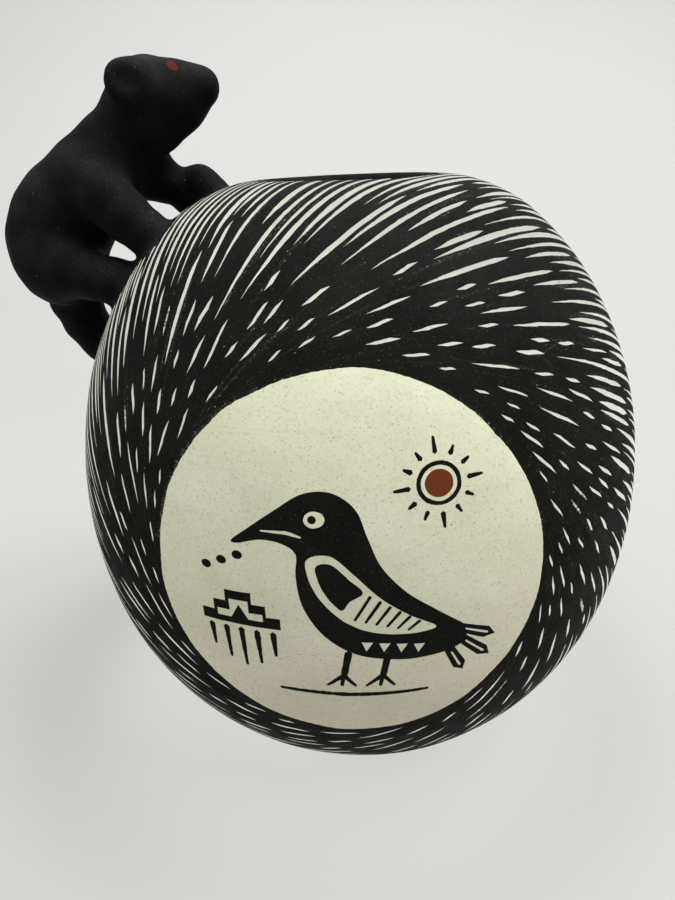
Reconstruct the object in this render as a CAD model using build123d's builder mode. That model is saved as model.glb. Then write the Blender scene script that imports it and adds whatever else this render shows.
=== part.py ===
"""Coil-built round jar with a modelled bear climbing its shoulder. Units mm, +Z up, the jar rests on z = 0.

The wall is a stack of revolved coils that lap on bevelled joints. The bear's pieces are lofted, cut by one another
and by the jar's outer surface, so that every piece is a solid of its own and meets its neighbours face to face.
"""

import os

from build123d import *

# Jar
MAX_RADIUS = 56.0  # at the widest level
BELLY_Z = 54.7  # height of the widest level
LOWER_REACH, LOWER_POWER = 61.34, 2.043  # lower half of the outline, a superellipse
UPPER_REACH, UPPER_POWER = 64.60, 2.061  # upper half
WALL = 4.0
FLOOR = 5.0  # thickness of the base in the middle
FOOT_ROUND = 4.0  # round between the resting face and the wall
SHOULDER_Z = 106.77  # where the superellipse passes into the flatter shoulder
SHOULDER_LOW, SHOULDER_HIGH = 5.53, 5.94  # how far the shoulder's curve keeps its direction at its two ends
CREST_RADIUS, CREST_Z = 16.66, 113.40  # top of the lip
LIP = 3.4  # thickness of the lip
COIL_LEVELS = [18.0, 32.2, 48.1, 64.9, 81.4, 96.0, SHOULDER_Z]  # joints, on the outside
LAP = 3.6  # how much lower a joint ends on the inside
OUTLINE_POINTS = 7  # spline points along one piece's outline

# Bear: stations along each piece as (x, y, z), direction (x, y, z), half height, half width
TORSO = [
    ((-37.6, 0.0, 125.2), (0.69, 0.0, 0.72), 3.2, 3.2),
    ((-39.4, 0.0, 123.4), (0.69, 0.0, 0.72), 5.2, 5.2),
    ((-41.4, 0.0, 121.3), (0.69, 0.0, 0.72), 6.4, 6.4),
    ((-43.8, 0.0, 118.8), (0.70, 0.0, 0.71), 7.1, 7.1),
    ((-48.8, 0.0, 114.0), (0.71, 0.0, 0.70), 8.3, 8.3),
    ((-54.0, 0.0, 109.0), (0.58, 0.0, 0.81), 9.2, 9.2),
    ((-57.0, 0.0, 103.0), (0.16, 0.0, 0.99), 9.1, 9.1),
    ((-57.2, 0.0, 99.2), (0.0, 0.0, 1.0), 8.4, 8.6),
    ((-57.2, 0.0, 95.6), (0.0, 0.0, 1.0), 7.2, 7.4),
    ((-57.2, 0.0, 93.0), (0.0, 0.0, 1.0), 4.9, 5.1),
    ((-57.2, 0.0, 91.8), (0.0, 0.0, 1.0), 2.6, 2.8),
]
HEAD = [
    ((-42.5, 0.0, 127.9), (1.0, 0.0, 0.0), 2.0, 2.0),
    ((-41.0, 0.0, 127.7), (1.0, 0.0, 0.0), 4.9, 4.8),
    ((-38.5, 0.0, 127.5), (1.0, 0.0, 0.0), 6.8, 6.6),
    ((-35.5, 0.0, 127.4), (1.0, 0.0, 0.0), 7.2, 7.0),
    ((-32.0, 0.0, 127.6), (1.0, 0.0, 0.05), 6.3, 6.0),
    ((-29.0, 0.0, 128.5), (1.0, 0.0, 0.12), 4.7, 4.6),
    ((-26.4, 0.0, 129.3), (1.0, 0.0, 0.14), 3.4, 3.4),
    ((-24.4, 0.0, 129.6), (1.0, 0.0, 0.14), 2.6, 2.6),
    ((-23.3, 0.0, 129.7), (1.0, 0.0, 0.14), 1.3, 1.3),
]
FORELEG_LEFT = [
    ((-43.6, 4.6, 115.8), (0.86, 0.48, -0.18), 5.0, 5.0),
    ((-39.8, 6.8, 115.0), (0.92, 0.36, -0.24), 4.3, 4.3),
    ((-36.4, 7.8, 113.8), (0.94, 0.20, -0.28), 3.6, 3.6),
    ((-33.2, 8.2, 112.6), (0.95, 0.12, -0.30), 3.6, 3.7),
    ((-30.2, 8.4, 111.6), (0.80, 0.06, -0.60), 4.1, 4.0),
    ((-28.6, 8.5, 109.4), (0.40, 0.0, -0.92), 4.2, 4.0),
    ((-27.9, 8.5, 105.6), (0.12, 0.0, -0.99), 3.9, 3.8),
]
FORELEG_RIGHT = [
    ((-47.5, -5.0, 115.0), (0.68, -0.53, -0.51), 5.1, 5.1),
    ((-43.6, -8.0, 111.8), (0.66, -0.44, -0.61), 5.0, 5.0),
    ((-40.0, -9.2, 108.4), (0.73, -0.14, -0.67), 4.5, 4.5),
    ((-36.6, -9.4, 105.4), (0.75, 0.0, -0.66), 4.1, 4.1),
    ((-33.0, -9.2, 102.3), (0.76, 0.04, -0.65), 4.0, 4.0),
    ((-30.4, -9.1, 100.1), (0.76, 0.04, -0.65), 3.9, 3.9),
]
HINDLEG_LEFT = [
    ((-57.4, 4.0, 97.8), (-0.15, 0.41, -0.90), 6.0, 5.8),
    ((-58.4, 6.9, 91.5), (-0.02, 0.34, -0.94), 5.2, 5.2),
    ((-57.6, 8.2, 86.4), (0.33, 0.16, -0.93), 4.6, 4.6),
    ((-55.0, 8.5, 81.8), (0.62, 0.02, -0.78), 4.3, 4.3),
    ((-51.0, 8.4, 78.2), (0.78, -0.03, -0.62), 4.2, 4.2),
    ((-47.0, 8.2, 75.4), (0.82, -0.04, -0.57), 4.0, 4.0),
]
HINDLEG_RIGHT = [
    ((-56.4, -4.5, 101.0), (0.78, -0.55, -0.26), 5.9, 5.8),
    ((-52.0, -7.6, 99.6), (0.85, -0.44, -0.28), 5.0, 5.0),
    ((-48.0, -9.0, 98.2), (0.94, -0.18, -0.29), 4.4, 4.4),
    ((-44.2, -9.2, 97.2), (0.97, 0.0, -0.25), 4.2, 4.2),
    ((-40.0, -9.0, 96.0), (0.96, 0.04, -0.28), 4.1, 4.1),
    ((-36.6, -8.9, 95.0), (0.96, 0.04, -0.28), 4.0, 4.0),
]
EAR_RADIUS, EAR_DEPTH = 3.4, 1.6  # half width of the lobe, and half its thickness
EAR_ROUND = 1.3  # round of its edge
EAR_AT = (-37.65, 6.72, 130.05)  # the left one; the right one mirrors it
EAR_FACING = (0.45, 0.88, 0.10)  # where its front looks, likewise


def outer_radius(z):
    """Radius of the jar's outer surface at height z."""
    up = z >= BELLY_Z
    reach, power = (UPPER_REACH, UPPER_POWER) if up else (LOWER_REACH, LOWER_POWER)
    return MAX_RADIUS * (1 - (abs(z - BELLY_Z) / reach) ** power) ** (1 / power)


def outer_point(z):
    return (outer_radius(z), z)


def climb(z):
    """Unit tangent of the outer outline, going up."""
    step = 0.001
    run = (outer_radius(z + step) - outer_radius(z - step)) / (2 * step)
    size = (run * run + 1) ** 0.5
    return (run / size, 1 / size)


def inner_point(z, wall=WALL):
    """The point under the outer outline's height z, one wall thickness in."""
    t = climb(z)
    return (outer_radius(z) - wall * t[1], z + wall * t[0])


def heights(low, high):
    """Heights spread evenly along the outline between two levels."""
    fine = [low + (high - low) * i / 400 for i in range(401)]
    run = [0.0]
    for a, b in zip(fine, fine[1:]):
        run.append(run[-1] + ((outer_radius(b) - outer_radius(a)) ** 2 + (b - a) ** 2) ** 0.5)
    picked = []
    for i in range(OUTLINE_POINTS):
        wanted = run[-1] * i / (OUTLINE_POINTS - 1)
        k = min(range(401), key=lambda j: abs(run[j] - wanted))
        picked.append(fine[k])
    picked[0], picked[-1] = low, high
    return picked


def outer_line(low, high):
    """Outline of the outside between two levels, for the line being built."""
    return Spline([outer_point(z) for z in heights(low, high)], tangents=[climb(low), climb(high)])


def inner_line(low, high, wall_high=WALL):
    """Outline of the inside, from the higher level down to the lower one."""
    picked = heights(low, high)
    walls = [WALL + (wall_high - WALL) * i / (OUTLINE_POINTS - 1) for i in range(OUTLINE_POINTS)]
    points = [inner_point(z, w) for z, w in zip(picked, walls)]
    down, end = climb(high), climb(low)
    return Spline(points[::-1], tangents=[(-down[0], -down[1]), (-end[0], -end[1])])


def shoulder_corners():
    """The four points that shape the shoulder's curve, from the wall up to the crest of the lip."""
    low, along = outer_point(SHOULDER_Z), climb(SHOULDER_Z)
    return [
        low,
        (low[0] + SHOULDER_LOW * along[0], low[1] + SHOULDER_LOW * along[1]),
        (CREST_RADIUS + SHOULDER_HIGH, CREST_Z),
        (CREST_RADIUS, CREST_Z),
    ]


def shoulder_line():
    """Outline of the outside from the highest joint to the crest of the lip."""
    return Bezier(*shoulder_corners())


def under_shoulder(count):
    """Points one wall thickness under the shoulder's curve, from the crest outwards."""
    p0, p1, p2, p3 = shoulder_corners()
    points = []
    for i in range(count):
        u = 1 - i / (count - 1)
        v = 1 - u
        r, z = (v**3 * a + 3 * v * v * u * b + 3 * v * u * u * c + u**3 * d for a, b, c, d in zip(p0, p1, p2, p3))
        run, rise = (3 * v * v * (b - a) + 6 * v * u * (c - b) + 3 * u * u * (d - c) for a, b, c, d in zip(p0, p1, p2, p3))
        size = (run * run + rise * rise) ** 0.5
        wall = WALL + (LIP - WALL) * u
        points.append((r - wall * rise / size, z + wall * run / size))
    return points


def lap_level(z):
    """Level whose inner point ends a joint that starts at z on the outside."""
    return z - LAP


def station(place, direction):
    """Plane across a limb at a station; its Y runs up the limb's height."""
    along = Vector(*direction).normalized()
    side = Vector(0, 1, 0) - along * along.Y
    return Plane(origin=place, x_dir=side.normalized(), z_dir=along)


foot_z = 0.0
foot_radius = outer_radius(foot_z)
joints = COIL_LEVELS
inside_joints = [lap_level(z) for z in joints]

# The jar's outside as one solid, which cuts the bear's paws to the wall.
with BuildPart() as envelope:
    with BuildSketch(Plane.XZ):
        with BuildLine():
            Line((0, 0), (foot_radius, foot_z))
            outer_line(foot_z, joints[0])
            for low, high in zip(joints, joints[1:]):
                outer_line(low, high)
            shoulder_line()
            Line((CREST_RADIUS, CREST_Z), (0, CREST_Z))
            Line((0, CREST_Z), (0, 0))
        make_face()
    revolve(axis=Axis.Z)

# Base: a pinched bowl with a flat resting face.
with BuildPart() as puki_base:
    with BuildSketch(Plane.XZ):
        with BuildLine():
            low_inside = 9.5  # level where the wall passes into the floor
            Line((0, 0), (foot_radius, foot_z))
            outer_line(foot_z, joints[0])
            Line(outer_point(joints[0]), inner_point(inside_joints[0]))
            inner_line(low_inside, inside_joints[0])
            start, slope = inner_point(low_inside), climb(low_inside)
            Spline(
                [start, (start[0] * 0.55, FLOOR + 1.6), (0, FLOOR)],
                tangents=[(-slope[0], -slope[1]), (-1, 0)],
            )
            Line((0, FLOOR), (0, 0))
        make_face()
    revolve(axis=Axis.Z)
    foot_edge = puki_base.edges().filter_by(GeomType.CIRCLE).sort_by(Axis.Z)[0]
    fillet(foot_edge, FOOT_ROUND)
puki_base.part.label = "puki_base"

# Wall coils, each lapped on the inside of the one below.
coils = []
for number, (low, high) in enumerate(zip(joints, joints[1:]), start=1):
    low_in, high_in = lap_level(low), lap_level(high)
    with BuildPart() as wall_coil:
        with BuildSketch(Plane.XZ):
            with BuildLine():
                outer_line(low, high)
                Line(outer_point(high), inner_point(high_in))
                inner_line(low_in, high_in)
                Line(inner_point(low_in), outer_point(low))
            make_face()
        revolve(axis=Axis.Z)
    wall_coil.part.label = f"wall_coil_{number}"
    coils.append(wall_coil.part)

# Rim coil: the shoulder and the rounded lip.
with BuildPart() as rim_coil:
    inside = under_shoulder(OUTLINE_POINTS)[:-1] + [inner_point(SHOULDER_Z), inner_point(inside_joints[-1])]
    down = climb(inside_joints[-1])
    with BuildSketch(Plane.XZ):
        with BuildLine():
            shoulder_line()
            ThreePointArc((CREST_RADIUS, CREST_Z), (CREST_RADIUS - LIP / 2, CREST_Z - LIP / 2), (CREST_RADIUS, CREST_Z - LIP))
            Spline(inside, tangents=[(1, 0), (-down[0], -down[1])])
            Line(inner_point(inside_joints[-1]), outer_point(joints[-1]))
        make_face()
    revolve(axis=Axis.Z)
rim_coil.part.label = "rim_coil"

# Bear.
with BuildPart() as bear_torso:
    for place, direction, high, wide in TORSO:
        with BuildSketch(station(place, direction)):
            Ellipse(wide, high)
    loft()
bear_torso.part.label = "bear_torso"

with BuildPart() as bear_head:
    for place, direction, high, wide in HEAD:
        with BuildSketch(station(place, direction)):
            Ellipse(wide, high)
    loft()
    add(bear_torso.part, mode=Mode.SUBTRACT)
bear_head.part.label = "bear_head"

ears = []
for side, name in ((1, "bear_ear_left"), (-1, "bear_ear_right")):
    with BuildPart() as bear_ear:
        front = Vector(EAR_FACING[0], side * EAR_FACING[1], EAR_FACING[2]).normalized()
        place = (EAR_AT[0], side * EAR_AT[1], EAR_AT[2])
        with BuildSketch(Plane(origin=place, x_dir=front.cross(Vector(0, 0, 1)), z_dir=front)):
            Circle(EAR_RADIUS)
        extrude(amount=EAR_DEPTH, both=True)
        fillet(bear_ear.edges().filter_by(GeomType.CIRCLE), EAR_ROUND)
        add(bear_head.part, mode=Mode.SUBTRACT)
        add(bear_torso.part, mode=Mode.SUBTRACT)
    bear_ear.part.label = name
    ears.append(bear_ear.part)

legs = []
for name, stations in (
    ("bear_foreleg_left", FORELEG_LEFT),
    ("bear_foreleg_right", FORELEG_RIGHT),
    ("bear_hindleg_left", HINDLEG_LEFT),
    ("bear_hindleg_right", HINDLEG_RIGHT),
):
    with BuildPart() as bear_leg:
        for place, direction, high, wide in stations:
            with BuildSketch(station(place, direction)):
                Ellipse(wide, high)
        loft()
        add(bear_torso.part, mode=Mode.SUBTRACT)
        add(envelope.part, mode=Mode.SUBTRACT)
    bear_leg.part.label = name
    legs.append(bear_leg.part)

os.makedirs("parts", exist_ok=True)
for piece in [puki_base.part, *coils, rim_coil.part, bear_torso.part, bear_head.part, *ears, *legs]:
    export_step(piece, f"parts/{piece.label}.step")
    print(piece.label, len(piece.solids()), round(piece.volume, 2))
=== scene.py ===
"""Round coil-built jar, matt black paint etched through to a pale slip, with a modelled bear climbing its shoulder."""

import math

import bpy
import numpy as np
from mathutils import Matrix, Vector
from mathutils.geometry import delaunay_2d_cdt


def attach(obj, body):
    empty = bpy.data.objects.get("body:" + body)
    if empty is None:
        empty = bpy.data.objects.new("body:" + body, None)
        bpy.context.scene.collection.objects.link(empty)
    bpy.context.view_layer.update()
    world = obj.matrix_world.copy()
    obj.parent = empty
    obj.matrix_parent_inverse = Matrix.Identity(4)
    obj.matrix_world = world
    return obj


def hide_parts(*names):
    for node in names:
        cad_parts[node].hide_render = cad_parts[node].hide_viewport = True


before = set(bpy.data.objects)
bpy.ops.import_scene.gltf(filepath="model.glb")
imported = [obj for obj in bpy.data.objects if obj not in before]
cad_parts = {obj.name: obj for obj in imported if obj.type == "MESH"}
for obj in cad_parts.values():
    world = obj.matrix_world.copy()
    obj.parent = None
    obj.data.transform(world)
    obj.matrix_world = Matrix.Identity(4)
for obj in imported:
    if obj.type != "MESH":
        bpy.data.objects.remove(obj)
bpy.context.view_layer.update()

rng = np.random.default_rng(20)
MM = 0.001
deg = math.radians

# ---------------------------------------------------------------- jar outline, in mm
MAX_RADIUS, BELLY_Z = 56.0, 54.7
LOWER_REACH, LOWER_POWER = 61.34, 2.043
UPPER_REACH, UPPER_POWER = 64.60, 2.061
SHOULDER_Z, SHOULDER_LOW, SHOULDER_HIGH = 106.77, 5.53, 5.94
CREST_RADIUS, CREST_Z = 16.66, 113.40
WALL, FLOOR, FOOT_ROUND, LIP = 4.0, 5.0, 4.0, 3.4
LOW_INSIDE = 9.5
RING = 240  # points on the two seams between the etched skin and the plain rings


def wall_radius(z):
    z = np.asarray(z, float)
    up = z >= BELLY_Z
    reach = np.where(up, UPPER_REACH, LOWER_REACH)
    power = np.where(up, UPPER_POWER, LOWER_POWER)
    part = np.clip(1 - (np.abs(z - BELLY_Z) / reach) ** power, 0, None)
    return MAX_RADIUS * part ** (1 / power)


def wall_climb(z):
    """Unit tangent of the wall's outline, going up: its radial and its vertical part."""
    run = (wall_radius(np.asarray(z) + 1e-3) - wall_radius(np.asarray(z) - 1e-3)) / 2e-3
    size = np.hypot(run, 1)
    return run / size, 1 / size


def section():
    """The jar's section from the middle of the underside over the outside, the lip and the inside to the middle of the
    floor, as (radius, height), with the places of the outside's start, of the lip's crest and of the lip's end."""
    low = 0.5
    for _ in range(60):
        low = FOOT_ROUND - FOOT_ROUND * float(wall_climb(low)[0])
    tr, tz = (float(v) for v in wall_climb(low))
    middle = float(wall_radius(low)) - FOOT_ROUND * tz
    points = [(r, 0.0) for r in np.linspace(0, middle, 60)]
    for a in np.linspace(-math.pi / 2, math.atan2(-tr, tz), 30)[1:-1]:
        points.append((middle + FOOT_ROUND * math.cos(a), FOOT_ROUND + FOOT_ROUND * math.sin(a)))
    start = len(points)
    zs = np.linspace(low, SHOULDER_Z, 900)
    u = np.linspace(0, 1, 220)[1:, None]
    along = np.array([float(v) for v in wall_climb(SHOULDER_Z)])
    p0, p3 = np.array([float(wall_radius(SHOULDER_Z)), SHOULDER_Z]), np.array([CREST_RADIUS, CREST_Z])
    p1, p2 = p0 + SHOULDER_LOW * along, p3 + (SHOULDER_HIGH, 0)
    shoulder = (1 - u) ** 3 * p0 + 3 * (1 - u) ** 2 * u * p1 + 3 * (1 - u) * u**2 * p2 + u**3 * p3
    outer = np.concatenate([np.stack([wall_radius(zs), zs], 1), shoulder])
    points += list(map(tuple, outer))
    crest = len(points) - 1
    for a in np.linspace(math.pi / 2, 1.5 * math.pi, 40)[1:-1]:
        points.append((CREST_RADIUS + LIP / 2 * math.cos(a), CREST_Z - LIP / 2 + LIP / 2 * math.sin(a)))
    lip_end = len(points)
    run = np.gradient(outer, axis=0)
    run /= np.linalg.norm(run, axis=1, keepdims=True)
    wall = np.concatenate([np.full(len(zs), WALL), WALL + (LIP - WALL) * u[:, 0]])
    inner = outer - wall[:, None] * np.stack([run[:, 1], -run[:, 0]], 1)
    points += list(map(tuple, inner[outer[:, 1] > LOW_INSIDE][::-1]))
    r0, z0 = points[-1]
    for v in np.linspace(0, 1, 90)[1:]:
        points.append((r0 * (1 - v), FLOOR + (z0 - FLOOR) * (1 - v) ** 2.9))
    return np.array(points), start, crest, lip_end


raw, raw_start, raw_crest, raw_lip = section()
raw_s = np.concatenate([[0], np.cumsum(np.hypot(*np.diff(raw, axis=0).T))])
S = np.arange(0, raw_s[-1], 0.1)
PR, PZ = np.interp(S, raw_s, raw[:, 0]), np.interp(S, raw_s, raw[:, 1])
TR, TZ = np.gradient(PR, S), np.gradient(PZ, S)
size = np.hypot(TR, TZ)
TR, TZ = TR / size, TZ / size
NR, NZ = TZ, -TR  # outward normal
S_OUT, S_CREST, S_IN = raw_s[raw_start], raw_s[raw_crest], raw_s[raw_lip]
S_FROM, S_TO = 10.0, S_IN + 4.0  # the etched skin reaches from the underside to just inside the mouth
inside = (S >= S_FROM - 0.05) & (S <= S_TO + 0.05)
SK = S[inside]
TK = np.concatenate([[0], np.cumsum(np.diff(SK) / ((PR[inside][1:] + PR[inside][:-1]) / 2))])
on_outside = (S >= S_OUT) & (S <= S_CREST)


def t_of_s(s):
    return np.interp(s, SK, TK)


def s_of_t(t):
    return np.interp(t, TK, SK)


def s_of_z(z):
    """Place along the section of a height on the outside."""
    return np.interp(z, PZ[on_outside], S[on_outside])


def radius_at(s):
    return np.interp(s, S, PR)


# ---------------------------------------------------------------- the medallion and the sweep of the strokes
CENTRE = np.array([0, 0, BELLY_Z])
FRONT_AZ, FRONT_EL, MEDALLION = -0.03803, 0.08954, 0.55038
FRONT = np.array(
    [
        math.sin(FRONT_AZ) * math.cos(FRONT_EL),
        -math.cos(FRONT_AZ) * math.cos(FRONT_EL),
        math.sin(FRONT_EL),
    ]
)
UPWARD = np.array([0, 0, 1.0]) - FRONT * FRONT[2]
UPWARD /= np.linalg.norm(UPWARD)
RIGHT = np.cross(UPWARD, FRONT)


def smooth(low, high, x):
    t = np.clip((x - low) / (high - low), 0, 1)
    return t * t * (3 - 2 * t)


def around(p):
    """Angle from the medallion's axis and turn about it, clockwise from the top, with the unit directions of both."""
    q = p - CENTRE
    q = q / np.linalg.norm(q, axis=1, keepdims=True)
    a = np.arccos(np.clip(q @ FRONT, -1, 1))
    b = np.arctan2(q @ RIGHT, q @ UPWARD)
    ea = (q * np.cos(a)[:, None] - FRONT) / np.sin(a)[:, None]
    eb = -np.sin(b)[:, None] * UPWARD + np.cos(b)[:, None] * RIGHT
    return a, b, ea, eb


def inflow(a, b):
    """How far the strokes lean inwards from a circle about the medallion."""
    lean = deg(64) * (1 - np.exp(-(a - deg(29.5)) / deg(15)))
    return lean * (1 - 0.36 * smooth(deg(95), deg(150), np.abs(b)))


def point(s, phi):
    r = radius_at(s)
    return np.stack([r * np.cos(phi), r * np.sin(phi), np.interp(s, S, PZ)], 1)


def flow(s, phi, turn=0.0, unsigned=False):
    """Direction of the strokes at a place: how far it climbs and how much its bearing turns for each mm."""
    p = point(s, phi)
    a, b, ea, eb = around(p)
    lean = inflow(a, b)
    swirl = -np.cos(lean)[:, None] * eb - np.sin(lean)[:, None] * ea
    tr, tz = np.interp(s, S, TR), np.interp(s, S, TZ)
    up = np.stack([tr * np.cos(phi), tr * np.sin(phi), tz], 1)
    side = np.stack([-np.sin(phi), np.cos(phi), np.zeros_like(phi)], 1)
    behind = -0.87 * up + 0.5 * np.array([-1.0, 0, 0])
    w = smooth(6, 38, p[:, 1])[:, None]
    if unsigned:  # both as lines without a sense, so that they meet without a parting
        behind = behind - ((behind * np.cross(side, up)).sum(1))[:, None] * np.cross(side, up)
        swirl = np.where((swirl * behind).sum(1) < 0, -1.0, 1.0)[:, None] * swirl
    v = swirl * (1 - w) + behind * w
    m, c = (v * up).sum(1), (v * side).sum(1)
    size = np.hypot(m, c) + 1e-9
    m, c = m / size, c / size
    m, c = m * np.cos(turn) - c * np.sin(turn), m * np.sin(turn) + c * np.cos(turn)
    return m, c / radius_at(s)


STEP = 0.5


def trace(s, phi, count, turn, sign, unsigned=False):
    """Follows the flow from many places at once. Returns places along the section and bearings, one row a step."""
    rows, cols = [s], [phi]
    ds = dp = 0.0
    for _ in range(count):
        before = ds, dp
        ds, dp = flow(s, phi, turn, unsigned)
        if unsigned:
            same = np.where(ds * before[0] + dp * before[1] * radius_at(s) ** 2 < 0, -1.0, 1.0)
            ds, dp = same * ds, same * dp
        before = ds, dp
        mid = np.clip(s + sign * STEP / 2 * ds, S_OUT + 0.5, S_CREST)
        ds, dp = flow(mid, phi + sign * STEP / 2 * dp, turn, unsigned)
        if unsigned:
            same = np.where(ds * before[0] + dp * before[1] * radius_at(s) ** 2 < 0, -1.0, 1.0)
            ds, dp = same * ds, same * dp
        s = np.clip(s + sign * STEP * ds, S_OUT + 0.5, S_CREST)
        phi = phi + sign * STEP * dp
        rows.append(s)
        cols.append(phi)
    return np.array(rows), np.array(cols)


# A map of the outside, a quarter of a millimetre to a cell, that says where a stroke's middle line may not go.
CELL = 0.25
COLUMNS = 1440
ROWS = int((S_CREST - S_OUT) / CELL) + 2
taken = np.zeros((ROWS, COLUMNS), bool)
kept_clear = np.zeros((ROWS, COLUMNS), bool)  # of background points
row_s = np.minimum(S_OUT + (np.arange(ROWS) + 0.5) * CELL, S_CREST)
row_r = radius_at(row_s)
col_phi = (np.arange(COLUMNS) + 0.5) / COLUMNS * 2 * math.pi
grid_s, grid_p = np.meshgrid(row_s, col_phi, indexing="ij")
grid_a, grid_b, _, _ = around(point(grid_s.ravel(), grid_p.ravel()))
grid_a, grid_b = np.degrees(grid_a).reshape(taken.shape), np.degrees(grid_b).reshape(taken.shape)
border = 1.5 + 1.2 * smooth(75, 20, np.abs(grid_b))
taken |= np.radians(grid_a) * MAX_RADIUS < MEDALLION * MAX_RADIUS + border
taken |= grid_s < S_OUT + 2.0


def cells(s, phi):
    row = np.clip(((s - S_OUT) / CELL).astype(int), 0, ROWS - 1)
    col = (phi / (2 * math.pi) * COLUMNS).astype(int) % COLUMNS
    return row, col


def stamp(grid, s, phi, reach):
    """Marks a disc on the surface round each place."""
    rows, cols = cells(s, phi)
    for row, col, r in zip(rows, cols, np.broadcast_to(reach, rows.shape)):
        high = int(r / CELL)
        wide = min(int(r / (row_r[row] * 2 * math.pi / COLUMNS)), COLUMNS // 2 - 1)
        i = np.arange(max(0, row - high), min(ROWS, row + high + 1))
        j = np.arange(col - wide, col + wide + 1)
        disc = ((i[:, None] - row) / (high + 0.5)) ** 2 + ((j[None] - col) / (wide + 0.5)) ** 2 <= 1
        grid[np.ix_(i, j % COLUMNS)] |= disc


rng = np.random.default_rng(22)
empty = taken.copy()
close = taken.copy()  # where a line may not run on
strokes = []  # (places along the section, bearings, width, kind)
ANGLES = (32, 36, 44, 53, 64, 76, 95, 150)  # away from the medallion's middle, in degrees


def spacing(a, b):
    """Least distance between a new line's seed and the lines that are there, and the width of a line."""
    low = smooth(100, 140, np.abs(b))
    left = smooth(-30, -60, b) * (1 - low)
    front = smooth(60, 10, np.abs(b)) * smooth(56, 66, a)
    gap = np.interp(a, ANGLES, (1.9, 1.9, 1.95, 1.95, 1.9, 1.85, 1.9, 2.1)) * (1 + 0.05 * low + 0.1 * left)
    wide = np.interp(a, ANGLES, (0.6, 0.66, 0.72, 0.80, 0.88, 0.9, 0.9, 0.95)) * (1 - 0.04 * low - 0.13 * left + 0.12 * front)
    return gap, wide


def free_stretch(free, seed, back, ahead):
    """First and last place of the free part of a traced line round its seed."""
    first = seed
    while first > 0 and seed - first < back and free[first - 1]:
        first -= 1
    last = seed
    while last < len(free) - 1 and last - seed < ahead and free[last + 1]:
        last += 1
    return first, last


def lay_line(ss, ps, seed, until, loose=1.0, longest=44, pieces=(14, 38), breaks=(1.4, 2.8)):
    """Lays a line across the field as far as a place of its own, in one stroke or a few."""
    rows, cols = cells(ss, ps)
    if taken[rows[seed], cols[seed]] or grid_a[rows[seed], cols[seed]] < until:
        return
    moving = np.concatenate([[True], np.abs(np.diff(ss)) + radius_at(ss[1:]) * np.abs(np.diff(ps)) > 0.3 * STEP])
    off_crest = (ss < S_CREST - 0.001) | (np.roll(ss, -1) < S_CREST - 0.001)
    first, last = free_stretch(~close[rows, cols] & (grid_a[rows, cols] > until) & moving & off_crest, seed, 400, 400)
    if (last - first) * STEP < 8:
        return
    s, p = ss[first : last + 1], ps[first : last + 1]
    gap, wide = spacing(grid_a[rows[first : last + 1], cols[first : last + 1]], grid_b[rows[first : last + 1], cols[first : last + 1]])
    gap = gap * loose * rng.uniform(0.92, 1.15)
    stamp(taken, s, p, gap)
    stamp(close, s, p, 0.55 * gap)
    at = 0
    while at < len(s) - 8:
        n = len(s) - 1 - at
        if n * STEP > longest:
            n = int(rng.uniform(*pieces) / STEP)
        end = at + n
        kind = "rim" if at == 0 and s[0] > S_CREST - 0.6 else "line" if n * STEP > 9.5 else "dash"
        strokes.append((s[at : end + 1], p[at : end + 1], wide[(at + end) // 2] * rng.uniform(0.62, 1.2), kind))
        at = end + int(rng.uniform(*breaks) / STEP) + 1


# Lines: neighbour after neighbour across the sweep, first round the front, then behind.
count = 16000
s0 = S_OUT + 3 + (S_CREST - S_OUT - 3.3) * rng.random(count)
phi0 = 2 * math.pi * rng.random(count)
keep = rng.random(count) < radius_at(s0) / MAX_RADIUS
s0, phi0 = s0[keep], phi0[keep]
a0, b0, _, _ = around(point(s0, phi0))
keep = np.degrees(a0) > 52
s0, phi0, a0, b0 = s0[keep], phi0[keep], a0[keep], b0[keep]
steps_a = np.linspace(deg(24), deg(179), 1500)
lean = np.maximum(inflow(steps_a, np.zeros_like(steps_a)), deg(6))
spiral = np.concatenate([[0], np.cumsum(np.diff(steps_a) / np.tan(lean[1:]) / np.sin(steps_a[1:]))])
label = (b0 - np.interp(a0, steps_a, spiral) - 2.2) % (2 * math.pi)
behind = radius_at(s0) * np.sin(phi0) > 12
order = np.lexsort((np.where(behind, phi0 % (2 * math.pi), label), behind))
s0, phi0 = s0[order], phi0[order]
turn = deg(0.7) * rng.standard_normal(len(s0))
sa, pa = trace(s0, phi0, 110, turn, 1)
sb, pb = trace(s0, phi0, 110, turn, -1)
ss, ps = np.concatenate([sb[:0:-1], sa]), np.concatenate([pb[:0:-1], pa])
for k in range(len(s0)):
    far_right = smooth(deg(25), deg(70), b0[order[k]])
    lay_line(ss[:, k], ps[:, k], 110, rng.uniform(43.5, 61) + 4 * far_right)

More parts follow.
